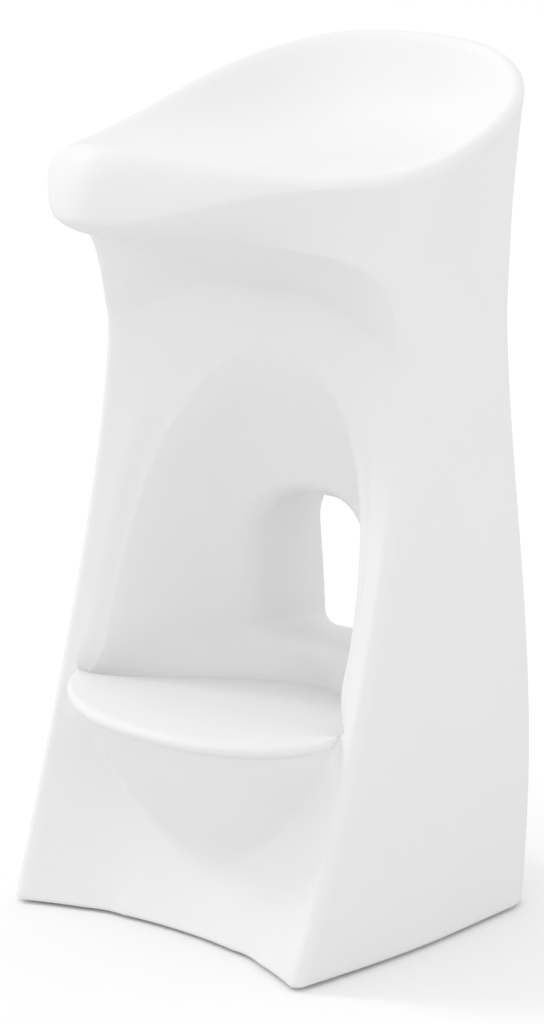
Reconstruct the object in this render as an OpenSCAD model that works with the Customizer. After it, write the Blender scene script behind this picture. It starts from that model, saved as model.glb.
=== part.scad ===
// In-pool bar stool: one hollow moulded body that is filled with water to stand under water.
// Front faces -Y, back faces +Y, the floor is Z = 0 and the plane X = 0 is the mirror plane.

/* [Seat] */
// Height of the rim at the back of the seat
back_rim_h = 840; // [790:1:890]
// Height of the rim at the front and sides of the seat
front_rim_h = 748; // [725:1:770]
// Width of the seat over its rim
seat_w = 412; // [390:1:436]
// Distance from the middle of the seat to its back rim
seat_back = 184; // [165:1:200]
// Distance from the middle of the seat to the tip of its nose
seat_nose = 294; // [265:1:315]
// Place of the middle of the seat behind the middle of the base
seat_y = 45; // [30:1:60]
// Depth of the dish below the front rim
dish_depth = 15; // [6:1:25]
// Radius of the rolled edge of the rim
rim_r = 8; // [6:0.5:11]
// How far the rounded nose swells out past its rim
nose_swell = 14; // [8:1:22]
// Height of the widest line of the nose below the front rim
nose_drop = 42; // [34:1:48]
// How far the rim rises again towards the tip of the nose
nose_rise = 27; // [0:1:32]

/* [Body] */
// Width of the body at the floor
base_w = 412; // [385:1:440]
// Width of the body at the waist
waist_w = 385; // [365:1:400]
// Height of the waist
waist_h = 560; // [540:1:580]
// Front lips to the middle of the base, at the floor
lip_foot = 177; // [160:1:192]
// Front lips to the middle of the base, at the waist
lip_waist = 29; // [18:1:40]
// Back wall to the middle of the base, at its fullest
back_full = 185; // [175:1:198]
// Back wall to the middle of the base, below the seat
back_waist = 146; // [140:1:160]
// Height where the back wall is fullest
back_full_h = 180; // [140:1:240]
// Radius of the two upright back corners
corner_r = 36; // [30:1:50]
// Radius of the front lips
lip_r = 11; // [9:0.5:13]
// Wall thickness of the moulding
wall = 6; // [4.5:0.25:7]

/* [Front recess] */
// Height of the crease between the recess and its ceiling, in the middle
crease_h = 611; // [600:1:618]
// Depth of the shallow recess behind the lips
recess_d = 30; // [22:1:36]
// Height of the top of the arched pocket
arch_h = 564; // [545:1:580]
// Half width of the arched pocket at its springing
arch_half_w = 155; // [140:1:160]
// Height of the springing of the arched pocket
arch_spring_h = 270; // [262:1:290]
// Back wall of the arched pocket to the middle of the base
pocket_y = 76; // [60:1:86]
// Depth of the toe recess at the floor
toe_d = 40; // [25:1:55]

/* [Window] */
// Width of the window at its front
window_w = 138; // [110:1:146]
// How much wider the window is at its back
window_flare = 20; // [0:1:28]
// Height of the window sill at its front
window_sill = 246; // [240:1:262]
// Fall of the window sill from front to back, so that it drains
window_fall = 14; // [0:1:18]
// Height of the top of the window
window_top = 397; // [375:1:410]
// Radius of the upper corners of the window
window_r = 56; // [40:1:60]
// Radius of the lower corners of the window
window_foot_r = 14; // [8:1:20]

/* [Footrest] */
// Height of the front edge of the footrest
footrest_h = 228; // [218:1:236]
// Fall of the footrest from front to back
footrest_fall = 26; // [14:1:30]
// Front of the footrest to the middle of the base
footrest_front = 186; // [165:1:200]
// Radius of the rounded front edge of the footrest
footrest_edge_r = 12; // [10:0.5:13]
// Height of the lowest point of the bowl under the footrest
bowl_h = 74; // [60:1:90]
// Half width of the footrest
footrest_half_w = 162; // [150:1:166]

/* [Ports] */
// Thread diameter of the fill port
fill_d = 50; // [40:1:56]
// Height of the fill port on the back
fill_h = 560; // [520:1:590]
// Thread diameter of the drain port
drain_d = 28; // [22:1:34]
// Height of the drain port on the back
drain_h = 70; // [60:1:110]
// Pitch of both threads
thread_pitch = 4; // [3:0.25:4]
// Full turns that release a cap
cap_turns = 3; // [2:1:3]
// Radial clearance of a cap in its threaded insert
thread_gap = 0.06; // [0.02:0.01:0.1]
// Thickness of the flat seals
seal_t = 2; // [1.5:0.25:3]

/* [Feet] */
// Diameter of a foot pad
pad_d = 44; // [36:1:48]
// Height of a foot pad below the base
pad_proud = 3; // [2:0.5:5]
// Depth of the pocket that holds a foot pad
pad_pocket = 4; // [3.5:0.25:5]
// Middle of a foot from the side of the base
foot_side_in = 54; // [50:1:62]
// Middle of a front foot from the front lips
foot_front_in = 65; // [61:1:73]
// Middle of a back foot from the fullest line of the back
foot_back_in = 59; // [55:1:70]
// Thread diameter of the foot screws
screw_d = 5; // [4:0.5:6]

/* [Hidden] */
body_color = [0.95, 0.955, 0.96];
cap_color = [0.9, 0.91, 0.92];
insert_color = [0.72, 0.58, 0.32];
rubber_color = [0.16, 0.16, 0.17];
steel_color = [0.7, 0.71, 0.72];

// Small maths shared by the shapes
function mix(a, b, t) = a + (b - a) * t;
function clamp01(t) = max(0, min(1, t));
function ease(t) = let (c = clamp01(t)) c * c * (3 - 2 * c);

// Body in plan and in profile. Each takes the inset w from the outer face, 0 outside.
bottom_z = pad_proud;
sweep_pow = 1.45;
lip_top = 610;
back_top = 660;
lip_inset_foot = 19;
lip_inset_top = 1;
back_foot_in = 16;
back_crown = 5;

function lip_y(z, w) =
    z < waist_h ? -lip_waist - (lip_foot - lip_waist) * pow(1 - z / waist_h, sweep_pow) + 1.2 * w
    : -lip_waist - 6 * pow((z - waist_h) / 100, 2) + 1.2 * w;
function side_x(z, w) =
    waist_w / 2 + (base_w - waist_w) / 2 * pow(clamp01(1 - z / waist_h), 1.5)
    + 4 * ease((z - waist_h - 20) / 90) - w;
function lip_x(z, w) =
    side_x(z, w) - mix(lip_inset_top, lip_inset_foot, pow(clamp01(1 - z / waist_h), 3));
function back_y(z, w) =
    (z < back_full_h
        ? back_full - back_foot_in * pow(1 - z / back_full_h, 2)
        : mix(back_full, back_waist, ease((z - back_full_h) / (back_top - back_full_h)))) - w;

// Half width of the arched pocket by height
function arch_w(z, w) =
    z < arch_spring_h
        ? arch_half_w + 10 * pow((arch_spring_h - z) / (arch_spring_h - footrest_h), 2) + w
        : (arch_half_w + w) * pow(max(0, 1 - pow((z - arch_spring_h) / (arch_h + w - arch_spring_h), 2)), 0.6);

// The larger of a and b, with the corner between them rounded over about r
function smooth_max(a, b, r) =
    let (h = clamp01(0.5 + 0.5 * (a - b) / r)) mix(b, a, h) + r * h * (1 - h);

// Shallow recess between the lips and the arched pocket in it, which meets the recess in a rounded edge
edge_round = 14;
function across(x, z) = min(1, abs(x) / (lip_x(z, 0) - lip_r));
function recess_y(x, z, w) = lip_y(z, 0) + recess_d * (1 - pow(across(x, z), 2.4)) + 1.2 * w;
function pocket_front(x, z, w) =
    let (high = max(0, z - arch_spring_h) / (arch_h + w - arch_spring_h),
         low = (arch_spring_h - min(z, arch_spring_h)) / (arch_spring_h - footrest_h),
         wide = abs(x) / (arch_half_w + w + 10 * low * low),
         reach = sqrt(pow(wide, mix(2, 5 / 3, ease(3 * high))) + high * high),
         n = mix(1.6, 3.7, ease((z - footrest_h + 28) / 60)), y = recess_y(x, z, w))
    smooth_max(y, y + (pocket_y + w - recess_y(0, z, 0)) * (1 - pow(reach, n)), edge_round);
// Toe recess below the footrest, with the bowl that carries the footrest swelling out of it
function toe_mid(z, w) = -(78 + (lip_foot - toe_d - 78) * pow(clamp01(1 - z / 200), 2.2)) + w;
function toe_y(x, z, w) = mix(toe_mid(z, w), lip_y(z, 0) + 1.2 * w, pow(across(x, z), 2.2));
fold_z = footrest_h - 2 * footrest_edge_r;
function bowl_t(z, w) = clamp01((z - bowl_h - w) / (fold_z - bowl_h - w));
function bowl_w(z, w) = (footrest_half_w - w) * pow(bowl_t(z, w), 0.5);
bowl_out = footrest_front - footrest_edge_r - 78;
function bowl_y(x, z, w) =
    let (t = bowl_t(z, w), b = bowl_w(z, w), u = b > 0 ? min(1, abs(x) / b) : 1)
    toe_y(x, z, w) - (bowl_out - w / 2) * pow(t, 0.8) * pow(1 - u * u, 0.75);

// Rim and nose of the seat, by the angle a from the tip of the nose (0) to the back (180)
function rim_xy(a, grow) =
    a < 90
    ? [(seat_w / 2 + grow) * pow(sin(a), 1.25) * (1 + 0.17 * pow(sin(2 * a), 2)),
       seat_y - (seat_nose + grow) * pow(cos(a), 1.83)]
    : [(seat_w / 2 + grow) * pow(sin(a), 0.8), seat_y + (seat_back + grow) * pow(max(0, -cos(a)), 0.8)];
function rim_z(y) =
    let (t = clamp01((y + 60) / (seat_y + seat_back + 60)))
    front_rim_h + (back_rim_h - front_rim_h) * pow(t, 1.6)
    + nose_rise * pow(clamp01((-y - 115) / (seat_nose - seat_y - 115)), 1.5);

// One level of the outside: the lip, the side, the corner and the back, each with n points
function lip_pts(z, w, n) =
    let (r = max(3, lip_r - w), x0 = lip_x(z, w) - r, y0 = lip_y(z, w) + r)
    [for (i = [0:n]) let (a = 90 * i / n) [x0 + r * sin(a), y0 - r * cos(a), z]];
function side_pts(z, w, n) =
    let (r = max(3, lip_r - w), y0 = lip_y(z, w) + r, y1 = back_y(z, w) - back_crown - corner_r + w)
    [for (i = [1:n]) let (t = i / n)
        [mix(lip_x(z, w), side_x(z, w), sin(90 * min(1, 1.5 * t))), mix(y0, y1, t), z]];
function corner_pts(z, w, n) =
    let (r = corner_r - w, x0 = side_x(z, w) - r, y0 = back_y(z, w) - back_crown - r)
    [for (i = [1:n]) let (a = 90 * i / n) [x0 + r * cos(a), y0 + r * sin(a), z]];
function back_pts(z, w, n) =
    let (x0 = side_x(z, w) - corner_r + w)
    [for (i = [1:n]) let (t = 1 - i / n) [x0 * t, back_y(z, w) - back_crown * t * t, z]];
function outside_pts(z, w, q) =
    concat(lip_pts(z, w, q[2]), side_pts(z, w, q[3]), corner_pts(z, w, q[4]), back_pts(z, w, q[5]));

// Columns across the front, at height z: q[0] to the edge of the pocket or bowl, q[1] on to the lip
function col_edge(z, w) =
    z < fold_z ? max(bowl_w(z, w), 16 + 74 * clamp01(1 - z / bowl_h))
    : max(arch_w(max(z, footrest_h), w), 16);
function col_x(j, z, w, q) =
    let (l = lip_x(z, w) - max(3, lip_r - w), e = min(l - 14, col_edge(z, w)))
    j <= q[0] ? e * sin(90 * j / q[0]) : mix(e, l, (j - q[0]) / (q[1] + 1));

// Rows of the grid: points of one half from the front middle to the back middle.
// The footrest rounds off and dips by cup, which fades to nothing at its two tips.
function cup(x) = pow(1 - pow(min(1, abs(x) / footrest_half_w), 2), 0.3);
function shelf_z(x, t, w) = footrest_h - w * (1 + t) - footrest_fall * pow(t, 1.4) * cup(x);
function low_row(z, w, q) =
    concat([for (j = [0:q[0] + q[1]]) let (x = col_x(j, z, w, q)) [x, bowl_y(x, z, w), z]],
           outside_pts(z, w, q));
function edge_row(a, w, q) =
    let (r = max(2, footrest_edge_r - w), z = footrest_h - w - r * (1 + cos(a)))
    concat([for (j = [0:q[0] + q[1]]) let (x = col_x(j, z, w, q))
                [x, bowl_y(x, z, w) - r * sin(a) * cup(x), z]],
           outside_pts(z, w, q));
function shelf_row(t, w, q) =
    let (zo = footrest_h - w)
    concat([for (j = [0:q[0] + q[1]]) let (x = col_x(j, zo, w, q), z = shelf_z(x, t, w))
                [x, mix(bowl_y(x, zo, w), pocket_front(x, z, w), t), z]],
           outside_pts(zo + 4 * t, w, q));
function pocket_row(t, w, q) =
    let (zo = mix(footrest_h - w, arch_h + w, t))
    concat([for (j = [0:q[0] + q[1]])
                let (x = col_x(j, zo, w, q), z = mix(shelf_z(x, 1, w), arch_h + w, t))
                [x, pocket_front(x, z, w), z]],
           outside_pts(max(zo, footrest_h - w + 4 + 20 * t), w, q));

// Angle round the rim for each column: the front, the lip, the side, the corner, the back
function rim_angles(q) =
    concat([for (j = [0:q[0] + q[1]]) 60 * j / (q[0] + q[1] + 1)],
           [for (i = [0:q[2]]) 60 + 6 * i / q[2]], [for (i = [1:q[3]]) 66 + 46 * i / q[3]],
           [for (i = [1:q[4]]) 112 + 40 * i / q[4]], [for (i = [1:q[5]]) 152 + 28 * i / q[5]]);
function nose_share(a) = ease((88 - a) / 54);
function edge_pt(a, b, w) =
    let (s = nose_share(a), r = max(2, rim_r - w), n = mix(1, 4 / 3, s),
         p = rim_xy(a, s * nose_swell * pow(cos(b), n) - mix(r, r / 3, s) * (1 - cos(b)) - w),
         z = rim_z(rim_xy(a, 0)[1]) - w,
         low = mix(z - r, front_rim_h - nose_drop + w, s))
    [p[0], p[1], mix(low, z, pow(sin(b), n))];

// Lower edge of the seat's overhang: under the rim, level along the nose, falling to the lips
overhang_in = 6;
nose_under = 8;
nose_fall = 23;
overhang_fall = 35;
overhang_turn = 57.5;
function low_pt(a, w) =
    let (t = a / 60, p = rim_xy(t * overhang_turn, -overhang_in - w))
    [p[0], p[1], front_rim_h - nose_drop - nose_under - nose_fall * t - overhang_fall * pow(t, 8) + w];

// Front column from its point s at the top of the pocket: up the recess, round a soft crease, along the
// ceiling to the lower edge of the overhang and round the nose to its widest line
crease_fall = 34;
crease_half = waist_w / 2 - 12.5;
crease_soft_mid = 30;
crease_soft_lip = 8;
function front_path(s, a, w, m) =
    let (l = low_pt(a, w), e = edge_pt(a, 0, w), x = mix(s[0], l[0], 0.2),
         z = crease_h - crease_fall * pow(x / crease_half, 2) + w, c = [x, recess_y(x, z, w), z],
         soft = mix(crease_soft_mid, crease_soft_lip, ease(x / 150)), p = c + (s - c) * min(0.8, soft / norm(s - c)),
         r = c + (l - c) * soft / norm(l - c))
    concat([p], [for (i = [1:m[0]]) let (t = i / m[0]) (1 - t) * (1 - t) * p + 2 * t * (1 - t) * c + t * t * r],
           [for (i = [1:m[1]]) mix(r, l, i / m[1])],
           [for (i = [1:m[2]]) let (b = 90 * i / m[2])
               [mix(l[0], e[0], sin(b)), mix(l[1], e[1], sin(b)), mix(l[2], e[2], 1 - cos(b))]]);

// Rows of the overhang: front columns on their paths, the others up to lip_top and then flared out to the seat
function over_rows(last, w, q, n, m) =
    let (ang = rim_angles(q), f = q[0] + q[1] + 1, paths = [for (j = [0:f]) front_path(last[j], ang[j], w, m)],
         base = outside_pts(lip_top + w, w, q))
    [for (i = [0:n[4] + n[5] - 1])
        concat([for (j = [0:f]) paths[j][i]],
               i < n[4]
               ? let (o = outside_pts(mix(arch_h + w, lip_top + w, (i + 1) / n[4]), w, q))
                 [for (j = [1:len(o) - 1]) o[j]]
               : [for (j = [1:len(base) - 1])
                     let (t = (i + 1 - n[4]) / n[5], a = ang[f + j], e = edge_pt(a, 0, w),
                          k = pow(t, 1 + 0.4 * ease((a - 130) / 50)),
                          kz = pow(t, mix(1.7, 1, ease((a - 62) / 30))))
                     [mix(base[j][0], e[0], k), mix(base[j][1], e[1], k), mix(base[j][2], e[2], kz)]])];
function rim_row(b, w, q) = [for (a = rim_angles(q)) edge_pt(a, b, w)];
function dish_row(k, w, q) =
    [for (a = rim_angles(q)) let (e = edge_pt(a, 90, w), c = front_rim_h - dish_depth - w)
        [e[0] * k, mix(seat_y, e[1], k), mix(c, e[2], pow(k, 2.3))]];

// All rows of one skin, inset by w from the outer face: n rows a part, m of them on the overhang's paths
function skin_rows(w, q, n, m) =
    let (z0 = bottom_z + w, z1 = footrest_h - w - 2 * max(2, footrest_edge_r - w))
    concat(
        [low_row(z0, w + 3, q)],
        [for (i = [0:n[0]]) low_row(mix(z0 + 3, z1, i / n[0]), w, q)],
        [for (i = [1:n[1]]) edge_row(180 * i / n[1], w, q)],
        [for (i = [1:n[2]]) shelf_row(i / n[2], w, q)],
        [for (i = [1:n[3]]) pocket_row(mix(i / n[3], sin(90 * i / n[3]), 0.6), w, q)],
        over_rows(pocket_row(1, w, q), w, q, n, m),
        [for (i = [1:n[6]]) rim_row(90 * i / n[6], w, q)],
        [for (i = [1:n[7]]) dish_row(1 - i / (n[7] + 1), w, q)]);
function ring(h) = concat(h, [for (i = [len(h) - 2:-1:1]) [-h[i][0], h[i][1], h[i][2]]]);

// Closed skin through the rows, with a middle point under the base and one on the seat
module skin(w, q, n, m) {
    rows = skin_rows(w, q, n, m);
    m = 2 * (len(rows[0]) - 1);
    k = len(rows);
    points = concat([for (r = rows) each ring(r)],
                    [[0, 0, bottom_z + w], [0, seat_y, front_rim_h - dish_depth - w]]);
    sides = [for (i = [0:k - 2], j = [0:m - 1]) let (a = i * m + j, b = i * m + (j + 1) % m)
        each (j < m / 2 ? [[a, b + m, b], [a, a + m, b + m]] : [[a, a + m, b], [b, a + m, b + m]])];
    ends = [for (j = [0:m - 1]) let (b = (j + 1) % m)
        each [[k * m, j, b], [k * m + 1, (k - 1) * m + b, (k - 1) * m + j]]];
    polyhedron(points, concat(sides, ends));
}

// Window through the back wall, grown by g on every side: wider and lower at the back
module window_outline(y, wide, drop, g) {
    r = window_r + g;
    f = window_foot_r + g;
    translate([0, y, 0]) rotate([90, 0, 0]) linear_extrude(1) for (s = [-1, 1]) {
        translate([s * ((window_w + wide) / 2 + g - r), window_top + g - r]) circle(r, $fn = 32);
        translate([s * ((window_w + wide) / 2 + g - f), window_sill - drop - g + f]) circle(f, $fn = 32);
    }
}
module window_cut(g) {
    hull() {
        window_outline(pocket_y - 60, 0, 0, g);
        window_outline(pocket_y, 0, 0, g);
        window_outline(back_full + 10, window_flare, window_fall, g);
    }
}

// Ports on the back. Inside port(d, h) the Z axis runs out of the port and 0 is its seating face.
base_y = (seat_nose + nose_swell - seat_back) / 2 - seat_y;
seat_sink = 5;
seat_gap = 2;
cap_flange = 11;
cap_t = 7;
insert_t = 4;
insert_l = 16;
plug_l = thread_pitch * cap_turns + 2;
boss_l = 20;
module port(h) {
    translate([0, back_y(h, 0) - seat_sink, h]) rotate([-90, 0, 0]) children();
}
module port_boss(d, h) {
    port(h) translate([0, 0, -boss_l])
        cylinder(r = d / 2 + cap_flange + seat_gap + wall, h = boss_l + seat_sink, $fn = 64);
}
module insert_ring(d, bore) {
    r = d / 2 + insert_t;
    rotate_extrude($fn = 64) polygon([[bore, -insert_l], [r, -insert_l], [r, -11], [r + 3, -10], [r + 3, -6],
                                      [r, -5], [r, 0], [bore, 0]]);
}
module port_hole(d, h) {
    port(h) {
        cylinder(r = d / 2 + cap_flange + seat_gap, h = 40, $fn = 64);
        translate([0, 0, -boss_l - 1]) cylinder(r = d / 2 + 1, h = boss_l + 2, $fn = 64);
        insert_ring(d, d / 2);
    }
}
module seal(d) {
    rotate_extrude($fn = 64) translate([d / 2 + 0.4, 0]) square([6, seal_t]);
}
module screw_cap(d) {
    r = d / 2 - thread_gap;
    head = d / 2 + cap_flange;
    grip = d / 2 - 3;
    difference() {
        rotate_extrude($fn = 64) polygon([[0, -plug_l + 12], [r - 5, -plug_l + 12], [r - 5, -plug_l],
            [r - 1, -plug_l], [r, -plug_l + 1], [r, seal_t], [head, seal_t], [head, seal_t + cap_t - 1.5],
            [head - 1.5, seal_t + cap_t], [0, seal_t + cap_t]]);
        for (s = [0, 1]) rotate([0, 0, 180 * s]) intersection() {
            translate([0, 0, seal_t + 2]) cylinder(r = grip, h = cap_t, $fn = 64);
            translate([-grip, 4, seal_t + 1]) cube([2 * grip, grip, cap_t]);
        }
    }
}

// Feet: pad, washer and screw from below, and the insert moulded into the boss above
foot_x = base_w / 2 - foot_side_in;
foot_front_y = lip_foot - foot_front_in;
foot_back_y = back_full - foot_back_in;
foot_places = [[-foot_x, -foot_front_y], [foot_x, -foot_front_y], [-foot_x, foot_back_y], [foot_x, foot_back_y]];
pad_web = 2.5;
washer_t = 1;
foot_boss_h = 24;
foot_insert_l = 12;
pad_top = pad_proud + pad_pocket;
module at_feet() {
    for (p = foot_places) translate([p[0], p[1], 0]) children();
}
module foot_insert(bore) {
    r = screw_d / 2 + 2;
    rotate_extrude($fn = 32) polygon([[bore, 0], [r, 0], [r, 4], [r + 1.5, 5], [r + 1.5, 8], [r, 9],
                                      [r, foot_insert_l], [bore, foot_insert_l]]);
}
module foot_hole() {
    translate([0, 0, -1]) cylinder(d = pad_d + 0.6, h = pad_top + 1, $fn = 48);
    translate([0, 0, pad_top]) foot_insert(screw_d / 2);
    translate([0, 0, pad_top - 1]) cylinder(d = screw_d + 1, h = foot_insert_l + 2, $fn = 32);
}
module foot_pad(i) {
    translate([foot_places[i][0], foot_places[i][1], 0]) rotate_extrude($fn = 64) polygon([
        [screw_d / 2 + 0.3, pad_top - pad_web], [screw_d + 2, pad_top - pad_web], [screw_d + 2, 0],
        [pad_d / 2 - 1, 0], [pad_d / 2, 1], [pad_d / 2, pad_top], [screw_d / 2 + 0.3, pad_top]]);
}
module place() {
    translate([0, base_y, 0]) children();
}

outer_q = [8, 4, 3, 6, 6, 5];
outer_n = [12, 4, 4, 13, 6, 6, 4, 8];
outer_m = [3, 4, 4];
inner_q = [6, 3, 1, 4, 3, 3];
inner_n = [6, 2, 2, 10, 4, 3, 1, 4];
inner_m = [2, 2, 2];

module body_shell() {
    color(body_color) place() difference() {
        skin(0, outer_q, outer_n, outer_m);
        difference() {
            skin(wall, inner_q, inner_n, inner_m);
            window_cut(wall);
            port_boss(fill_d, fill_h);
            port_boss(drain_d, drain_h);
            at_feet() cylinder(d = pad_d + 12, h = foot_boss_h, $fn = 48);
        }
        window_cut(0);
        port_hole(fill_d, fill_h);
        port_hole(drain_d, drain_h);
        at_feet() foot_hole();
    }
}
module fill_insert() {
    color(insert_color) place() port(fill_h) insert_ring(fill_d, fill_d / 2);
}
module fill_seal() {
    color(rubber_color) place() port(fill_h) seal(fill_d);
}
module fill_cap() {
    color(cap_color) place() port(fill_h) screw_cap(fill_d);
}
module drain_insert() {
    color(insert_color) place() port(drain_h) insert_ring(drain_d, drain_d / 2);
}
module drain_seal() {
    color(rubber_color) place() port(drain_h) seal(drain_d);
}
module drain_plug() {
    color(cap_color) place() port(drain_h) screw_cap(drain_d);
}
module front_left_foot_pad() {
    color(rubber_color) place() foot_pad(0);
}
module front_right_foot_pad() {
    color(rubber_color) place() foot_pad(1);
}
module back_left_foot_pad() {
    color(rubber_color) place() foot_pad(2);
}
module back_right_foot_pad() {
    color(rubber_color) place() foot_pad(3);
}
module foot_inserts() {
    color(insert_color) place() at_feet() translate([0, 0, pad_top]) foot_insert(screw_d / 2);
}
module foot_washers() {
    color(steel_color) place() at_feet() translate([0, 0, pad_top - pad_web - washer_t])
        rotate_extrude($fn = 32) translate([screw_d / 2 + 0.3, 0]) square([screw_d / 2 + 1, washer_t]);
}
module foot_screws() {
    color(steel_color) place() at_feet() translate([0, 0, pad_top - pad_web - washer_t]) {
        cylinder(d = screw_d, h = pad_web + washer_t + foot_insert_l - 2, $fn = 32);
        difference() {
            translate([0, 0, -2.4]) cylinder(r = screw_d * 0.95, h = 2.4, $fn = 32);
            translate([0, 0, -3]) cylinder(d = screw_d * 0.7, h = 2, $fn = 6);
        }
    }
}

body_shell();
fill_insert();
fill_seal();
fill_cap();
drain_insert();
drain_seal();
drain_plug();
front_left_foot_pad();
front_right_foot_pad();
back_left_foot_pad();
back_right_foot_pad();
foot_inserts();
foot_washers();
foot_screws();
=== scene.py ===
import math
import bpy
import numpy as np
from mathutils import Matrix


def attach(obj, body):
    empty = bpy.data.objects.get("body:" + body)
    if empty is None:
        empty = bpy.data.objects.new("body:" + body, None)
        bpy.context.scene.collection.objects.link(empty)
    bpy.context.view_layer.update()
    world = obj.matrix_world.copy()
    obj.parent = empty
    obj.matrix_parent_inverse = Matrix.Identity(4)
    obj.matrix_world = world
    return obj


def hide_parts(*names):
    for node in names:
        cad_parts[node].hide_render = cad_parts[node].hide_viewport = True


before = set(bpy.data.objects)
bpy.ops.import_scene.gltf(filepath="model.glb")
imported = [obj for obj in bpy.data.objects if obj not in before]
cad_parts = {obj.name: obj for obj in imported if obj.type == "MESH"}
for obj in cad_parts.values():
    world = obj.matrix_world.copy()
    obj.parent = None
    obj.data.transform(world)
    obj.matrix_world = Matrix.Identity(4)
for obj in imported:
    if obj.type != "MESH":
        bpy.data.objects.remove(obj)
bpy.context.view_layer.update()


# Moulded body
# The whole stool but its caps and feet: one hollow shell of white polyethylene with a 6 mm wall and soft
# edges, made in one piece by rotational moulding. Sizes are in millimetres from the middle of the base,
# and w draws a surface in where the base is rounded.
BASE_Z, BASE_EDGE_R = 3.0, 5.0
WAIST_Z, ROOF_Z = 560.0, 660.0
LIP_R, LIP_Y, LIP_SWEEP = 11.0, -29.0, 148.0


def mix(a, b, t):
    """a at t = 0, b at t = 1, in a straight line between."""
    return a + (b - a) * t


def ease(t):
    """0 below t = 0, 1 above t = 1, with no corner at either end."""
    t = np.clip(t, 0.0, 1.0)
    return t * t * (3.0 - 2.0 * t)


def lip_y(z, w=0.0):
    """Front edge of a side wall: it sweeps forward to the floor as the 1.45th power of the fall below the
    waist, and comes 6 mm forward above it."""
    below = LIP_Y - LIP_SWEEP * np.clip(1.0 - z / WAIST_Z, 0.0, None) ** 1.45
    above = LIP_Y - 6.0 * np.clip((z - WAIST_Z) / (ROOF_Z - WAIST_Z), 0, 1) ** 2
    return np.where(z < WAIST_Z, below, above) + 1.2 * w


WAIST_HALF_W, BASE_FLARE, SEAT_FLARE = 192.5, 13.5, 4.0


def side_x(z, w=0.0):
    """Half width of the body: least at the waist, more to the floor by the 1.5th power of the fall, and a
    little more to the seat."""
    return (WAIST_HALF_W + BASE_FLARE * np.clip(1.0 - z / WAIST_Z, 0.0, 1.0) ** 1.5
            + SEAT_FLARE * ease((z - WAIST_Z - 20) / 90) - w)


def lip_x(z, w=0.0):
    """Half width at the lip: the side wall turns in by up to 19 mm near the floor."""
    return side_x(z, w) - mix(1.0, 19.0, np.clip(1.0 - z / WAIST_Z, 0.0, 1.0) ** 3)


BACK_Y, BACK_FULL_Z, BACK_TUCK, BACK_HOLLOW_Y = 185.0, 180.0, 16.0, 146.0
CORNER_R, CROWN = 36.0, 5.0


def back_y(z, w=0.0):
    """Back wall in profile: tucked in at the floor by a square, then hollowed towards the seat by an S
    curve."""
    low = BACK_Y - BACK_TUCK * (1.0 - z / BACK_FULL_Z) ** 2
    high = mix(BACK_Y, BACK_HOLLOW_Y, ease((z - BACK_FULL_Z) / (ROOF_Z - BACK_FULL_Z)))
    return np.where(z < BACK_FULL_Z, low, high) - w


def across(x, z):
    """How far x lies from the mirror plane to the inner edge of the lip, 0 to 1."""
    return np.clip(np.abs(x) / (lip_x(z) - LIP_R), 0.0, 1.0)


RECESS_DEEP, TOE_Y, TOE_SWEEP = 30.0, -78.0, 59.0


def recess_y(x, z):
    """Shallow trough between the lips: full depth in the middle, less by the 2.4th power of the way to a
    lip."""
    return lip_y(z) + RECESS_DEEP * (1.0 - across(x, z) ** 2.4)


def toe_y(x, z, w=0.0):
    """Toe recess below the footrest: its middle comes forward to the floor by the 2.2th power of the
    fall, and it turns to the lips by the 2.2th power of the way across."""
    middle = TOE_Y - TOE_SWEEP * np.clip(1.0 - z / 200.0, 0.0, None) ** 2.2 + w
    return mix(middle, lip_y(z, w), across(x, z) ** 2.2)


SHELF_Z, EDGE_Z, BOWL_Z = 228.0, 204.0, 74.0
FOOTREST_HALF_W, FOOTREST_DEEP = 167.0, 93.0


def bowl_y(x, z, w=0.0):
    """Toe recess with the bowl of the footrest swelling out of it: rounded in plan, its width the root of
    the height and its depth the 0.8th power. Near the top a blunter outline is mixed in, which fills its
    two tips."""
    t = np.clip((z - BOWL_Z) / (EDGE_Z - BOWL_Z), 0.0, 1.0)
    u = np.clip(np.abs(x) / np.maximum(FOOTREST_HALF_W * t ** 0.5, 1e-6), 0.0, 1.0)
    blunt = 0.2 * ease((z - 160.0) / 45.0)
    outline = mix((1.0 - u ** 2.5) ** 1.15, (1.0 - u ** 10) ** 0.5, blunt)
    return toe_y(x, z, w) - FOOTREST_DEEP * t ** 0.8 * outline


ARCH_Z, SPRING_Z, ARCH_HALF_W, ARCH_SPREAD, ARCH_POWER = 554.0, 270.0, 151.0, 14.0, 2.3
POCKET_Y = 76.0


def jamb_x(z):
    """Half width of the arched pocket below its springing: wider towards the footrest by a square."""
    return ARCH_HALF_W + ARCH_SPREAD * ((SPRING_Z - np.minimum(z, SPRING_Z)) / (SPRING_Z - SHELF_Z)) ** 2


def arch_x(z):
    """Half width of the arched pocket: the jambs, and above the springing a closed curve, an ellipse of
    power 2.3."""
    high = np.clip(z - SPRING_Z, 0, None) / (ARCH_Z - SPRING_Z)
    arch = ARCH_HALF_W * np.clip(1.0 - high ** ARCH_POWER, 0.0, 1.0) ** (1 / ARCH_POWER)
    return np.where(z < SPRING_Z, jamb_x(z), arch)


def smooth_max(a, b, r):
    """The larger of a and b, with the corner between them rounded over about r."""
    h = np.clip(0.5 + 0.5 * (a - b) / r, 0.0, 1.0)
    return mix(b, a, h) + r * h * (1.0 - h)


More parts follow.
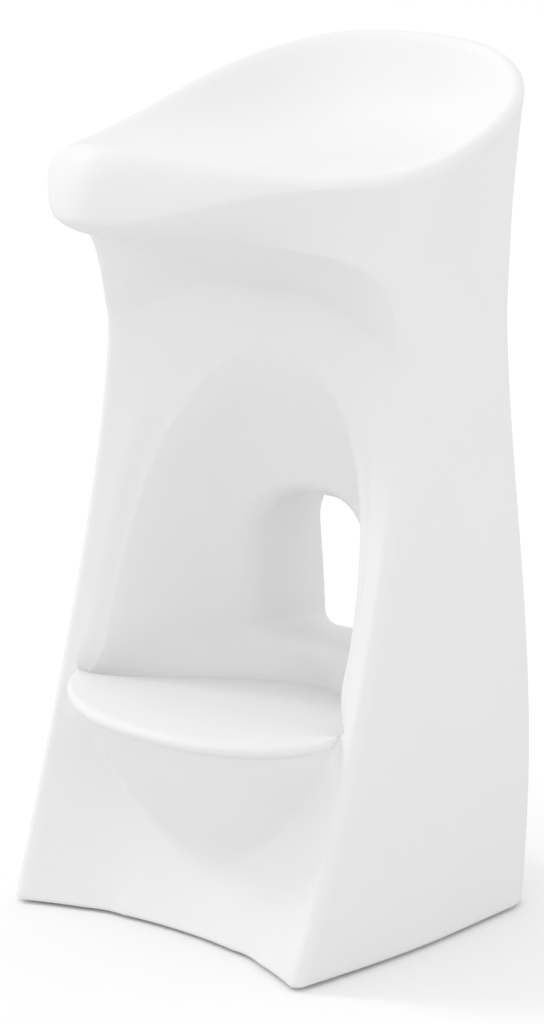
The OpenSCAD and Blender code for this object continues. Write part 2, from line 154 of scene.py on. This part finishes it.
def pocket_y(x, z):
    """Arched pocket: a hollow that comes forward from its deepest line by a power of the distance q from
    its middle, measured as arch_x measures it. It meets the recess in a rounded edge."""
    high = np.clip(z - SPRING_Z, 0.0, None) / (ARCH_Z - SPRING_Z)
    q = ((np.abs(x) / jamb_x(z)) ** ARCH_POWER + high ** ARCH_POWER) ** (1 / ARCH_POWER)
    n = mix(1.6, 3.1, ease((z - 200.0) / 60.0))
    y = recess_y(x, z)
    hollow = y + (POCKET_Y - recess_y(0.0, z)) * (1.0 - q ** n)
    return smooth_max(y, hollow, mix(16.0, 26.0, ease((z - 240.0) / 60.0)))


SEAT_Y, SEAT_HALF_W, NOSE_REACH, BACK_REACH = 45.0, 206.0, 294.0, 184.0
RIM_Z, BACK_RISE, BACK_RISE_Y, NOSE_RISE, NOSE_RISE_Y = 748.0, 92.0, -60.0, 27.0, -115.0


def rim_plan(a, grow=0.0):
    """The rim in plan by the angle a from the tip of the nose, grown by a width. Behind, x and y are the
    0.8th powers of sine and cosine; in front, y is a higher power, and near the tip x is held out to make
    it blunt."""
    s, c = np.abs(np.sin(a)), np.abs(np.cos(a))
    front = a < math.pi / 2
    blunt = 0.45 * ease((0.9 - a) / 0.7)
    out = s * ((s * s + blunt * blunt) / (1.0 + blunt * blunt)) ** 0.125 * (1.0 + 0.17 * np.sin(2 * a) ** 2)
    x = (SEAT_HALF_W + grow) * np.where(front, out, s ** 0.8)
    forward = SEAT_Y - (NOSE_REACH + grow) * c ** (1.83 + 0.9 * blunt * blunt)
    return x, np.where(front, forward, SEAT_Y + (BACK_REACH + grow) * c ** 0.8)


def rim_z(y):
    """Height of the rim: level at the sides, rising to the back by the 1.6th power of y, and a little to
    the tip of the nose by the 1.25th."""
    back = (y - BACK_RISE_Y) / (SEAT_Y + BACK_REACH - BACK_RISE_Y)
    nose = (NOSE_RISE_Y - y) / (NOSE_RISE_Y - SEAT_Y + NOSE_REACH)
    return RIM_Z + BACK_RISE * np.clip(back, 0, 1) ** 1.6 + NOSE_RISE * np.clip(nose, 0, 1) ** 1.25


NOSE_PROUD, NOSE_WIDE_Z, OVERHANG_Z = 14.0, 708.0, 698.0


def edge_point(a, b):
    """Edge of the seat: b goes from 0 at its widest line to a right angle on its crest. Behind it is a
    round roll of 8 mm, along the nose a swelling 14 mm proud and up to 60 mm high, with a broader crest
    at the tip."""
    nose = ease((math.radians(88) - a) / math.radians(54))
    n = mix(1.0, mix(4.0 / 3.0, 1.0, ease((0.7 - a) / 0.3)), nose)
    roll = mix(mix(8.0, 3.0, nose), 18.0, ease((0.7 - a) / 0.35))
    z = rim_z(rim_plan(a)[1])
    x, y = rim_plan(a, nose * NOSE_PROUD * np.cos(b) ** n - roll * (1.0 - np.cos(b)))
    widest = mix(z - 8.0, NOSE_WIDE_Z + 30.0 * ease((a - 0.15) / 0.6), nose)
    return x, y, mix(widest, z, np.sin(b) ** n)


def overhang_edge(a):
    """Lower edge of the seat's overhang by the angle a: inside the rim by 6 mm, and by 34 mm more half
    way along as a squared sine. It falls to the lips, at first slowly, at last by an eighth power."""
    t = a / math.radians(57.5)
    x, y = rim_plan(a, -6.0 - 34.0 * np.sin(math.pi * t) ** 2)
    return x, y, OVERHANG_Z - 23.0 * t - 35.0 * t ** 8


# Columns of one half, from front to back: pocket or bowl, panel, lip, side, corner and half the back
IN, PANEL, LIP, SIDE, TURN, BACK = 40, 14, 7, 38, 12, 17
FRONT = IN + PANEL + 1
HALF = IN + PANEL + LIP + SIDE + TURN + BACK


def outside(zl, zb, w=0.0):
    """The lip's arc, the side, the corner's arc and the back with its slight crown, a square of x. The
    height of each row goes from zl at the lip to zb behind."""
    zl, zb = zl[:, None], zb[:, None]
    a = np.linspace(0, math.pi / 2, LIP + 1)[None, 1:]
    lip = np.stack([lip_x(zl, w) - LIP_R + LIP_R * np.sin(a), lip_y(zl, w) + LIP_R - LIP_R * np.cos(a),
                    zl + 0 * a], -1)
    t = np.linspace(0, 1, SIDE + 1)[None, 1:]
    z = mix(zl, zb, ease(t))
    side = np.stack([mix(lip_x(z, w), side_x(z, w), np.sin(math.pi / 2 * np.minimum(1, 1.5 * t))),
                     mix(lip_y(zl, w) + LIP_R, back_y(zb, w) - CROWN - CORNER_R + w, t), z], -1)
    a = np.linspace(0, math.pi / 2, TURN + 1)[None, 1:]
    r = CORNER_R - w
    x0 = side_x(zb, w) - r
    corner = np.stack([x0 + r * np.cos(a), back_y(zb, w) - CROWN - r + r * np.sin(a), zb + 0 * a], -1)
    t = np.linspace(1, 0, BACK + 1)[None, 1:]
    back = np.stack([x0 * t, back_y(zb, w) - CROWN * t * t, zb + 0 * t], -1)
    return np.concatenate([lip, side, corner, back], 1)


def panel(inner, zl, surface, w=0.0):
    """Columns from the last inner point of each row out to the lip, lying on the surface y(x, z)."""
    s = np.linspace(0, 1, PANEL + 1)[None, 1:]
    last, zl = inner[:, -1:, :], zl[:, None]
    x = mix(last[..., 0], lip_x(zl, w) - LIP_R, s)
    z = mix(last[..., 2], zl, ease(s))
    return np.stack([x, mix(last[..., 1], surface(x, z), ease(2 * s)), z], -1)


def front_x(reach):
    """x of the inner columns of each row: a sine, so that they stand closer towards the edge of pocket or
    bowl."""
    return reach[:, None] * np.sin(np.linspace(0, math.pi / 2, IN + 1))[None, :]


# Bands of rows from the floor up: toe recess, front edge of the footrest, its top, pocket and recess.
# ends is the last row of each, and lip_z and back_z are the heights of every row at the lip and behind.
TOE, EDGE, TOP, ARCH, RECESS = 40, 10, 36, 120, 24
ends = np.cumsum([0, TOE, EDGE, TOP, ARCH, RECESS])
row_z = BASE_Z + BASE_EDGE_R
back_z = np.linspace(row_z, ROOF_Z, ends[-1] + 1)
lip_z = np.interp(np.arange(ends[-1] + 1), ends, [row_z, 182.0, EDGE_Z, 262.0, ARCH_Z, 610.0])


def band(n):
    """Row numbers of the nth band, and how far up it each row lies, to 1 at its last."""
    number = np.arange(ends[n - 1] + 1, ends[n] + 1)
    return number, (number[:, None] - ends[n - 1]) / (ends[n] - ends[n - 1])


def full_rows(number, x, y, z, surface):
    """Rows from their inner columns out over the panel, which lies on a surface, the lip, the side and
    the back."""
    inner = np.stack([x, y, z], -1)
    zl, zb = lip_z[number], back_z[number]
    return np.concatenate([inner, panel(inner, zl, surface), outside(zl, zb)], 1)


NARROW_HALF_W = 70.0


def base_rows():
    """Rounded edge of the base: an arc of 5 mm, from nearly flat to upright."""
    b = np.linspace(0.15, 1, 5)[:, None] * math.pi / 2
    w, z = BASE_EDGE_R * (1.0 - np.sin(b)), BASE_Z + BASE_EDGE_R * (1.0 - np.cos(b))
    x = front_x(np.full(len(b), NARROW_HALF_W))
    inner = np.stack([x, toe_y(x, z + 0 * x, w), z + 0 * x], -1)
    beyond = panel(inner, z[:, 0], lambda x, z: toe_y(x, z, w), w)
    return np.concatenate([inner, beyond, outside(z[:, 0], z[:, 0], w)], 1)


TIP_RISE, ROLL, FOOTREST_FALL = 20.0, 8.0, 26.0


def cup(x):
    """1 across most of the footrest, 0 at its two tips, where its edge and its fall fade out."""
    return np.clip(1.0 - (np.minimum(x, FOOTREST_HALF_W) / FOOTREST_HALF_W) ** 2, 0.0, 1.0) ** 0.3


def toe_rows():
    """Toe recess with the bowl. The columns spread as the bowl does, and the last rows rise at its two
    tips."""
    number, t = band(1)
    z = mix(row_z, EDGE_Z, t[:, 0])
    t = np.clip((z - BOWL_Z) / (EDGE_Z - BOWL_Z), 0, 1)
    x = front_x(np.sqrt(FOOTREST_HALF_W ** 2 * t + NARROW_HALF_W ** 2 * (1.0 - z / EDGE_Z) + 0.01))
    z = z[:, None] + TIP_RISE * (1.0 - cup(x)) * ease((z[:, None] - 150.0) / (EDGE_Z - 150.0))
    return full_rows(number, x, bowl_y(x, z), z, toe_y)


def beside(x, z):
    """Toe recess below the tips of the footrest, shallow recess above them."""
    return mix(toe_y(x, z), recess_y(x, z), ease((z - 208.0) / 40.0))


def footrest_edge_rows():
    """Front edge of the footrest: half a turn that stands 12 mm proud of the bowl, fading out at the
    tips."""
    number, t = band(2)
    x = front_x(np.full(EDGE, FOOTREST_HALF_W))
    up = np.sin(math.pi / 2 * t) ** 2
    z = mix(EDGE_Z, SHELF_Z - ROLL, up) + mix(TIP_RISE, ROLL, up) * (1.0 - cup(x))
    return full_rows(number, x, bowl_y(x, z) - 12.0 * np.sin(math.pi * t) * cup(x), z, beside)


def footrest_top_rows():
    """Top of the footrest: a roll of 8 mm over the front third, then a fall of 26 mm to the foot of the
    pocket."""
    number, t = band(3)
    x = front_x(mix(FOOTREST_HALF_W, ARCH_HALF_W + ARCH_SPREAD, t[:, 0]))
    z = SHELF_Z - (FOOTREST_FALL * t ** 1.4 + ROLL * np.clip(1.0 - t / 0.35, 0.0, 1.0) ** 2) * cup(x)
    return full_rows(number, x, mix(bowl_y(x, SHELF_Z + 0 * x), pocket_y(x, z), t), z, beside)


def pocket_rows(foot_z):
    """Arched pocket, from the height of the back of the footrest to the top of the arch."""
    number, t = band(4)
    x = front_x(np.maximum(arch_x(mix(SHELF_Z, ARCH_Z, t[:, 0])), 16.0))
    z = mix(foot_z, ARCH_Z, t)
    return full_rows(number, x, pocket_y(x, z), z, beside)


blocks = [base_rows(), toe_rows(), footrest_edge_rows(), footrest_top_rows()]
blocks.append(pocket_rows(blocks[-1][-1:, :IN + 1, 2]))

# The rows above, by column as an angle round the seat. OVER rows rise behind from the recess to the seat.
angle = np.radians(np.concatenate([
    np.linspace(0, 60, IN + PANEL + 1), np.linspace(60, 66, LIP + 1)[1:], np.linspace(66, 112, SIDE + 1)[1:],
    np.linspace(112, 152, TURN + 1)[1:], np.linspace(152, 180, BACK + 1)[1:]]))[None, :]
OVER, UP, BEND, NOSE = 40, 6, 12, 22
CREASE_Z, CREASE_FALL = 611.0, 40.0


def steps(n):
    """1/n to 1, shaped for rows of points."""
    return (np.arange(1, n + 1) / n)[:, None, None]


def front_paths(start, widest):
    """Front columns above the pocket. Each runs up the recess to a crease, rounded as a quadratic curve
    and softer in the middle, on along the ceiling to the edge of the overhang, and round the swelling of
    the nose to its widest line, by a mix of a quarter ellipse and a straight line that is all straight at
    the sides."""
    low = np.stack(overhang_edge(angle[0, :FRONT] * 57.5 / 60.0), -1)
    x = mix(start[:, 0], low[:, 0], 0.2)
    z = CREASE_Z - CREASE_FALL * (x / 180.0) ** 2
    crease = np.stack([x, recess_y(x, z), z], -1)
    soft = mix(30.0, 5.0, ease(x / 150.0))[:, None]
    before, after = start - crease, low - crease
    bend_in = crease + before * np.minimum(0.8, soft / np.linalg.norm(before, axis=1)[:, None])
    bend_out = crease + after * soft / np.linalg.norm(after, axis=1)[:, None]
    t = steps(BEND)
    bent = (1 - t) ** 2 * bend_in + 2 * t * (1 - t) * crease + t ** 2 * bend_out
    t = steps(NOSE)
    plain = mix(0.65, 1.0, ease((angle[0, :FRONT] - 0.6) / 0.35))[None, :, None]
    out = mix(low, widest, mix(np.sin(t * math.pi / 2), t, plain))
    up = mix(low, widest, mix(1.0 - np.cos(t * math.pi / 2), t, plain))
    return np.concatenate([mix(start, bend_in, steps(UP)), bent,
                           mix(bend_out, low, steps(RECESS + OVER - UP - BEND - NOSE)),
                           np.concatenate([out[..., :2], up[..., 2:]], -1)], 0)


def flared(base, x, y, z):
    """Lip, side and back rising from a row to the widest line of the seat: x by the 1.5th power of the
    way, z by the 1.7th at the lip and in step behind, y as x, but early by a sine where it is near the
    lip."""
    t = np.arange(1, OVER + 1)[:, None] / OVER
    a = angle[:, FRONT:]
    near = ease((math.radians(72) - a) / math.radians(12))
    out = t ** 1.5
    early = mix(out, np.sin(math.pi / 2 * np.minimum(1.0, t / 0.6)), near)
    up = t ** mix(1.7, 1.0, ease((a - math.radians(62)) / math.radians(30)))
    return np.stack([mix(base[..., 0], x, out), mix(base[..., 1], y, early), mix(base[..., 2], z, up)], -1)


def lip_line(z, end):
    """The line on which flared would set the inner edge of the lip, up to a point of the seat's widest
    line."""
    line = np.stack([lip_x(z) - LIP_R, lip_y(z), z], -1)
    t = np.arange(1, OVER + 1) / OVER
    way = np.stack([t ** 1.5, np.sin(math.pi / 2 * np.minimum(1.0, t / 0.6)), t ** 1.7], -1)
    return np.concatenate([line, mix(line[-1], end, way)], 0)


def overhang_rows(start):
    """Rows from the top of the pocket to the widest line of the seat. The lip and the front of the side
    wall follow the last front column by a share that fades over 26 columns."""
    number, _ = band(5)
    widest = np.stack(edge_point(angle, 0.0), -1)
    front = front_paths(start[:FRONT], widest[0, :FRONT])
    behind = outside(lip_z[number], back_z[number])
    x, y, z = (widest[:, FRONT:, c] for c in range(3))
    behind = np.concatenate([behind, flared(behind[-1:], x, y, z)], 0)
    follow = ease(1.0 - np.arange(1, behind.shape[1] + 1) / 26.0)
    off = front[:, -1] - lip_line(lip_z[number], widest[0, FRONT - 1])
    return np.concatenate([front, behind + off[:, None, :] * follow[None, :, None]], 1)


DISH_Z, RIM_ROWS, DISH_ROWS = 733.0, 16, 45


def dish_rows():
    """Dish of the seat: the crest drawn in by a factor k to the middle, its height a power of k that is
    steeper to the back. An exponential term makes a soft shoulder under the crest."""
    x, y, z = edge_point(angle, math.pi / 2)
    k = 1.0 - np.arange(1, DISH_ROWS)[:, None] / DISH_ROWS
    steep = mix(1.6, 4.4, ease((angle - math.radians(20)) / math.radians(100)))
    fall = k ** steep + steep * (1.0 - k) * np.exp(-(1.0 - k) / 0.05)
    return np.stack([x * k, mix(SEAT_Y, y, k), mix(DISH_Z, z, fall)], -1)


blocks.append(overhang_rows(blocks[-1][-1]))
blocks.append(np.stack(edge_point(angle, np.arange(1, RIM_ROWS + 1)[:, None] / RIM_ROWS * math.pi / 2), -1))
blocks.append(dish_rows())

# Flat underside: the lowest row drawn in towards the middle. The toe recess starts on the row first.
under = blocks[0][:1, :, :2] * np.linspace(0, 1, 11)[1:-1, None, None]
under = np.concatenate([under, np.full(under.shape[:2] + (1,), BASE_Z)], -1)
half = np.concatenate([under] + blocks, 0)
first = len(under) + len(blocks[0]) - 1

# Whole ring: the half and its mirror image, with the two seams shared
other = half[:, -2:0:-1] * [-1.0, 1.0, 1.0]
grid = np.concatenate([half, other], 1)
n_rows, ring = grid.shape[:2]
row = np.arange(n_rows)[:, None]
col = np.abs((np.arange(ring)[None, :] + ring // 2) % ring - ring // 2)


def zone(at, low, high, soft):
    """1 from low to high, fading to 0 over soft on either side."""
    return ease((at - low + soft) / soft) * ease((high + soft - at) / soft)


# The moulding's soft transitions. Again and again, points move towards the mean of their four neighbours
# in the toe recess and round the top of the arch, and of the two above and below where the sides and the
# back meet the seat.
arch_row, seat_row = first + ends[4], first + ends[5]
toe_zone = zone(row, first + 4, first + ends[1] - 4, 4) * zone(col, 0, IN + PANEL - 2, 2)
arch_zone = zone(row, arch_row - 24, arch_row + 2, 8) * zone(col, 0, IN + PANEL - 3, 3)
around = np.maximum(0.9 * toe_zone, 0.6 * arch_zone)[..., None]
upright = (zone(row, seat_row - 12, seat_row + 22, 8) * zone(col, FRONT + 1, HALF, 2))[..., None]
for _ in range(60):
    across_sum, upright_mean = np.roll(grid, 1, 1) + np.roll(grid, -1, 1), grid.copy()
    upright_mean[1:-1] = (grid[2:] + grid[:-2]) / 2.0
    four_mean = across_sum / 4.0 + upright_mean / 2.0
    grid = grid + 0.4 * (around * (four_mean - grid) + upright * (upright_mean - grid))

keep = np.ones((n_rows - 1, ring), bool)
points, quads, fans = [grid.reshape(-1, 3)], [], []


def cut(low, high, left, right):
    """Takes the faces of a block of rows and columns out, and gives its rim, from the middle of its lower
    side and turning with x first, as seen from the front."""
    keep[low:high, np.arange(left, right) % ring] = False
    line = np.concatenate([
        low * ring + np.arange(left, right) % ring, np.arange(low, high) * ring + right % ring,
        high * ring + np.arange(right, left, -1) % ring, np.arange(high, low, -1) * ring + left % ring])
    return np.roll(line, -((right - left) // 2))


def rounded(half_w, low, high, r_top, r_low):
    """Outline of an upright opening with round corners, as 1601 points evenly along it, from the middle
    of its lower side."""
    a = np.linspace(0, math.pi / 2, 60)
    arcs = [(half_w - r_low, low + r_low, r_low, a - math.pi / 2), (half_w - r_top, high - r_top, r_top, a),
            (r_top - half_w, high - r_top, r_top, a + math.pi / 2),
            (r_low - half_w, low + r_low, r_low, a + math.pi)]
    arcs = [np.stack([x + r * np.cos(t), z + r * np.sin(t)], -1) for x, z, r, t in arcs]
    p = np.concatenate([[[0.0, low]]] + arcs + [[[0.0, low]]])
    s = np.concatenate([[0], np.cumsum(np.hypot(*np.diff(p, axis=0).T))])
    at = np.linspace(0, s[-1], 1601)
    return np.stack([np.interp(at, s, p[:, 0]), np.interp(at, s, p[:, 1])], -1)


def opening(line, outline, r, surface, side, flat=5, bend=6):
    """Rings from the rim of a cut block to an outline, on the surface, turning in by a radius r at the
    outline. side is 1 where in is +y and -1 where in is -y. The last ring stands on the outline, r below
    the surface."""
    rim = grid.reshape(-1, 3)[line][:, [0, 2]]
    s = np.concatenate([[0], np.cumsum(np.hypot(*np.diff(np.concatenate([rim, rim[:1]]), axis=0).T))])
    at = s[:-1] / s[-1] * (len(outline) - 1)
    along = np.gradient(outline, axis=0)
    out = np.stack([along[:, 1], -along[:, 0]], -1)
    out /= np.linalg.norm(out, axis=1)[:, None]
    place = np.arange(len(outline))
    edge = np.stack([np.interp(at, place, outline[:, c]) for c in (0, 1)], -1)
    out = np.stack([np.interp(at, place, out[:, c]) for c in (0, 1)], -1)
    rings = []
    for t in np.linspace(0, 1, flat + 1)[1:]:
        p = mix(rim, edge + r * out, t)
        rings.append(np.stack([p[:, 0], surface(p[:, 0], p[:, 1]), p[:, 1]], -1))
    for a in np.linspace(0, math.pi / 2, bend + 1)[1:]:
        p = edge + r * (1 - math.sin(a)) * out
        deep = side * r * (1 - math.cos(a))
        rings.append(np.stack([p[:, 0], surface(p[:, 0], p[:, 1]) + deep, p[:, 1]], -1))
    return rings


def back_surface(x, z):
    """The back wall between its corners."""
    return back_y(z) - CROWN * (x / (side_x(z) - CORNER_R)) ** 2


def add(ring_points):
    """Adds points and gives their vertex numbers."""
    so_far = sum(len(p) for p in points)
    points.append(ring_points)
    return so_far + np.arange(len(ring_points))


def sew(loops):
    """Bands of faces from each loop of vertex numbers to the next."""
    for a, b in zip(loops[:-1], loops[1:]):
        quads.append(np.stack([a, np.roll(a, -1), np.roll(b, -1), b], -1))


# Window, from the pocket through the wall: wider and lower at the back, with an edge of 18 mm in front
# and 6 mm behind. Both blocks that are cut out have 216 points on their rims.
WINDOW_TOP_Z, WINDOW_TOP_R, WINDOW_LOW_R = 397.0, 56.0, 14.0
front_rim = cut(first + ends[3] + 4, first + ends[3] + 76, -18, 18)
back_rim = np.roll(cut(first + 64, first + 148, HALF - 12, HALF + 12)[::-1], 1)
front_outline = rounded(69.0, 246.0, WINDOW_TOP_Z, WINDOW_TOP_R, WINDOW_LOW_R)
back_outline = rounded(79.0, 232.0, WINDOW_TOP_Z, WINDOW_TOP_R, WINDOW_LOW_R)
inlet = opening(front_rim, front_outline, 18.0, pocket_y, 1, 5, 12)
outlet = opening(back_rim, back_outline, 6.0, back_surface, -1)
tunnel = [mix(inlet[-1], outlet[-1], t) for t in np.linspace(0, 1, 12)[1:-1]]
sew([front_rim] + [add(p) for p in inlet + tunnel + outlet[::-1]] + [back_rim])

# Round seats of the two ports, each with the bore behind its threaded insert: height of the port, thread
# diameter, and the rows and half the columns of the block cut out for it
SEAT_DEEP, BORE_DEEP = 5.0, 18.0
for height, thread, low, high, wide in ((560.0, 50.0, 178, 212, 5), (70.0, 28.0, 8, 34, 4)):
    line = np.roll(cut(first + low, first + high, HALF - wide, HALF + wide)[::-1], 1)
    seat_r, bore_r = thread / 2 + 13.0, thread / 2 + 4.0
    outline = rounded(seat_r, height - seat_r, height + seat_r, seat_r, seat_r)
    rings = opening(line, outline, 1.5, back_surface, -1)
    turn = rings[-1][:, [0, 2]] - [0.0, height]
    turn /= np.linalg.norm(turn, axis=1)[:, None]
    plane = float(back_y(height)) - SEAT_DEEP
    bore = [np.stack([r * turn[:, 0], 0 * turn[:, 0] + plane - deep, height + r * turn[:, 1]], -1)
            for r, deep in ((6.0, BORE_DEEP), (bore_r, BORE_DEEP), (bore_r, BORE_DEEP / 2), (bore_r, 0.0),
                            (mix(bore_r, seat_r, 0.5), 0.0), (seat_r - 1.0, 0.0), (seat_r - 0.2, -0.3),
                            (seat_r, -1.0))]
    loops = [add(p) for p in bore + rings[::-1]]
    sew(loops + [line])
    fans.append((add(np.array([[0.0, plane - BORE_DEEP, height]]))[0], loops[0]))

# All faces: the grid without its blocks, the bands, and fans in the underside, the dish and the bores
i, j = np.nonzero(keep)
quads.append(np.stack([i * ring + j, i * ring + (j + 1) % ring, (i + 1) * ring + (j + 1) % ring,
                       (i + 1) * ring + j], -1))
fans.append((add(np.array([[0.0, 0.0, BASE_Z]]))[0], np.arange(ring)[::-1]))
fans.append((add(np.array([[0.0, SEAT_Y, DISH_Z]]))[0], (n_rows - 1) * ring + np.arange(ring)))
quads = np.concatenate(quads)
tris = np.concatenate([np.stack([0 * loop + hub, loop, np.roll(loop, -1)], -1) for hub, loop in fans])
used, corners = np.unique(np.concatenate([quads.ravel(), tris.ravel()]), return_inverse=True)
points = np.concatenate(points)[used]
sizes = np.concatenate([np.full(len(quads), 4), np.full(len(tris), 3)])

# The row's frame has the middle of its box at the origin, 17 mm in front of the middle of the base
FRAME_Y = 17.0
mesh = bpy.data.meshes.new("moulded_body")
mesh.vertices.add(len(points))
mesh.vertices.foreach_set("co", ((points + [0.0, FRAME_Y, 0.0]) / 1000.0).ravel())
mesh.loops.add(len(corners))
mesh.loops.foreach_set("vertex_index", corners.astype(np.int32))
mesh.polygons.add(len(sizes))
mesh.polygons.foreach_set("loop_start", np.concatenate([[0], np.cumsum(sizes)[:-1]]).astype(np.int32))
mesh.polygons.foreach_set("loop_total", sizes.astype(np.int32))
mesh.polygons.foreach_set("use_smooth", np.ones(len(sizes), bool))
mesh.update(calc_edges=True)
mesh.validate()
body = bpy.data.objects.new("moulded_body", mesh)
bpy.context.scene.collection.objects.link(body)


def material(name, colour, roughness, grain, depth, **more):
    """A material with a fine grain: noise of that size in metres in Object coordinates, as bump and as a
    slight unevenness of gloss, and a broad, faint cloud in the colour. Further sockets are set by
    name."""
    m = bpy.data.materials.new(name)
    m.use_nodes = True
    nodes, links = m.node_tree.nodes, m.node_tree.links
    shader = nodes["Principled BSDF"]
    for key, value in more.items():
        shader.inputs[key.replace("_", " ")].default_value = value
    where = nodes.new("ShaderNodeTexCoord")
    place = nodes.new("ShaderNodeMapping")
    noise = nodes.new("ShaderNodeTexNoise")
    noise.inputs["Scale"].default_value = 1.0 / grain
    noise.inputs["Detail"].default_value = 3.0
    cloud = nodes.new("ShaderNodeTexNoise")
    cloud.inputs["Scale"].default_value = 9.0
    cloud.inputs["Detail"].default_value = 2.0
    tint = nodes.new("ShaderNodeMix")
    tint.data_type = "RGBA"
    tint.inputs["A"].default_value = tuple(0.985 * c for c in colour) + (1.0,)
    tint.inputs["B"].default_value = tuple(min(1.0, 1.01 * c) for c in colour) + (1.0,)
    gloss = nodes.new("ShaderNodeMapRange")
    gloss.inputs["To Min"].default_value = roughness - 0.03
    gloss.inputs["To Max"].default_value = roughness + 0.03
    bump = nodes.new("ShaderNodeBump")
    bump.inputs["Strength"].default_value = 0.35
    bump.inputs["Distance"].default_value = depth
    links.new(where.outputs["Object"], place.inputs["Vector"])
    links.new(place.outputs["Vector"], noise.inputs["Vector"])
    links.new(place.outputs["Vector"], cloud.inputs["Vector"])
    links.new(cloud.outputs["Fac"], tint.inputs["Factor"])
    links.new(tint.outputs["Result"], shader.inputs["Base Color"])
    links.new(noise.outputs["Fac"], gloss.inputs["Value"])
    links.new(gloss.outputs["Result"], shader.inputs["Roughness"])
    links.new(noise.outputs["Fac"], bump.inputs["Height"])
    links.new(bump.outputs["Normal"], shader.inputs["Normal"])
    return m


satin = material("white_polyethylene", (0.86, 0.86, 0.862), 0.5, 0.0012, 0.00012, Specular_IOR_Level=0.35)
body.data.materials.append(satin)
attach(body, "base")
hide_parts("body_shell")


# Caps
# Fill cap and drain plug: white moulded lids with two finger grips, screwed into the back by their
# threads. They are a little smoother than the body.
def dress(names, m):
    """Gives CAD nodes their material."""
    for name in names:
        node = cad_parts[name]
        node.data.materials.clear()
        node.data.materials.append(m)


dress(["fill_cap", "drain_plug"], material("cap_white", (0.84, 0.845, 0.855), 0.36, 0.0008, 0.00006))

# Inserts
# Threaded brass rings, turned, and moulded into the body behind the caps and above the feet. They hold
# the caps and the screws of the feet.
dress(["fill_insert", "drain_insert", "foot_inserts"],
      material("insert_brass_turned", (0.71, 0.54, 0.27), 0.3, 0.0006, 0.00003, Metallic=1.0))

# Seals and feet
# Black rubber: flat seals, pressed between the two caps and the body, and four round pads under the base,
# each held by a screw.
dress(["fill_seal", "drain_seal", "front_left_foot_pad", "front_right_foot_pad", "back_left_foot_pad",
       "back_right_foot_pad"], material("black_rubber", (0.03, 0.03, 0.032), 0.62, 0.0009, 0.00008))

# Screws
# Stainless steel screws with washers, which hold the pads. They go up through pad and washer into the
# brass inserts of the feet.
dress(["foot_washers", "foot_screws"],
      material("stainless_steel", (0.62, 0.63, 0.64), 0.28, 0.0005, 0.00002, Metallic=1.0))

# Floor
# White studio floor. Only the camera sees its full white: the stool gets the light of a duller one, which
# leaves some shade on its downward faces.
bpy.ops.mesh.primitive_plane_add(size=14.0, location=(0, 0, 0))
floor = bpy.context.object
floor.name = "studio_floor"
floor_white = material("floor_white", (0.95, 0.95, 0.95), 0.8, 0.02, 0.0001, Specular_IOR_Level=0.1)
floor.data.materials.append(floor_white)
nodes, links = floor_white.node_tree.nodes, floor_white.node_tree.links
seen = nodes.new("ShaderNodeLightPath")
dull = nodes.new("ShaderNodeBsdfDiffuse")
dull.inputs["Color"].default_value = (0.8, 0.8, 0.8, 1.0)
either = nodes.new("ShaderNodeMixShader")
links.new(seen.outputs["Is Camera Ray"], either.inputs[0])
links.new(dull.outputs[0], either.inputs[1])
links.new(nodes["Principled BSDF"].outputs[0], either.inputs[2])
links.new(either.outputs[0], nodes["Material Output"].inputs["Surface"])

# Light
# An even surround, plain white to the camera and slightly weaker as light, and four weak, distant lamps:
# one above, a narrow key and a broad one from the left, and a broad one from the right.
world = bpy.data.worlds.new("surround")
bpy.context.scene.world = world
world.use_nodes = True
nodes, links = world.node_tree.nodes, world.node_tree.links
nodes.clear()
seen = nodes.new("ShaderNodeLightPath")
dim = nodes.new("ShaderNodeBackground")
dim.inputs["Color"].default_value = (0.995, 0.99, 1.0, 1.0)
dim.inputs["Strength"].default_value = 0.94
white = nodes.new("ShaderNodeBackground")
white.inputs["Color"].default_value = (1.0, 1.0, 1.0, 1.0)
either = nodes.new("ShaderNodeMixShader")
out = nodes.new("ShaderNodeOutputWorld")
links.new(seen.outputs["Is Camera Ray"], either.inputs[0])
links.new(dim.outputs[0], either.inputs[1])
links.new(white.outputs[0], either.inputs[2])
links.new(either.outputs[0], out.inputs["Surface"])


def lamp(name, azimuth, elevation, spread, strength):
    """A distant soft light. Azimuth 0 is in front and 90 on the +X side; spread is its width in
    degrees."""
    light = bpy.data.lights.new(name, "SUN")
    light.angle, light.energy = math.radians(spread), strength
    sun = bpy.data.objects.new(name, light)
    sun.rotation_euler = (math.pi / 2 - math.radians(elevation), 0.0, math.radians(azimuth))
    bpy.context.scene.collection.objects.link(sun)


lamp("above", 0, 80, 50, 0.12)
lamp("key", -75, 40, 12, 0.47)
lamp("left", -55, 5, 60, 0.28)
lamp("right", 80, 10, 60, 0.13)

# Camera
# The photograph's place: 41 degrees round to the +X side and 3.3 m away, looking down by 14 degrees.
# A long lens keeps the upright lines of the stool nearly parallel.
camera = bpy.data.objects.new("camera", bpy.data.cameras.new("camera"))
camera.data.lens, camera.data.sensor_width = 120.06, 36.0
camera.location = (2.100, -2.399, 1.197)
camera.rotation_euler = (math.radians(90 - 14.06), 0.0, math.radians(40.96))
bpy.context.scene.collection.objects.link(camera)
bpy.context.scene.camera = camera
bpy.context.scene.view_settings.view_transform = "Standard"
